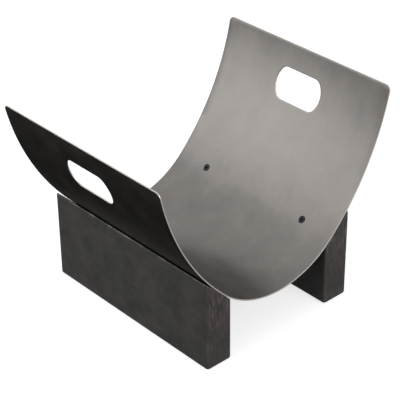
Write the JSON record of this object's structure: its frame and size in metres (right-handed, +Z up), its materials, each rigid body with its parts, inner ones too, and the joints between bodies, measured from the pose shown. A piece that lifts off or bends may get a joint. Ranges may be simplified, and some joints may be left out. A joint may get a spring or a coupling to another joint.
{
  "type": "log holder",
  "caption": "Free-standing firewood holder: a rolled steel sheet trough with a hand slot in each wing, screwed to bevelled black boards on edge.",
  "frame": {"origin": "on the floor, under the middle of the trough", "axes": "+X across the trough from the left wing to the right wing, +Y along the logs from the front end to the back end, +Z up"},
  "size_m": [0.4588, 0.353, 0.3379],
  "materials": {
    "blackened_steel": "hot-rolled and blackened sheet, satin, with bare laser-cut edges",
    "stained_board": "black-stained solid board, oiled, matt",
    "black_oxide_screw": "black oxide, lightly oiled",
    "insert_brass": "turned, bright",
    "wool_felt": "pressed wool felt"
  },
  "bodies": {
    "root": {"tray": "blackened_steel", "left_board": "stained_board", "left_front_screw": "black_oxide_screw", "left_front_insert": "insert_brass", "left_front_felt_pad": "wool_felt", "left_back_screw": "black_oxide_screw", "left_back_insert": "insert_brass", "left_back_felt_pad": "wool_felt", "right_board": "stained_board", "right_front_screw": "black_oxide_screw", "right_front_insert": "insert_brass", "right_front_felt_pad": "wool_felt", "right_back_screw": "black_oxide_screw", "right_back_insert": "insert_brass", "right_back_felt_pad": "wool_felt"}
  },
  "joints": []
}
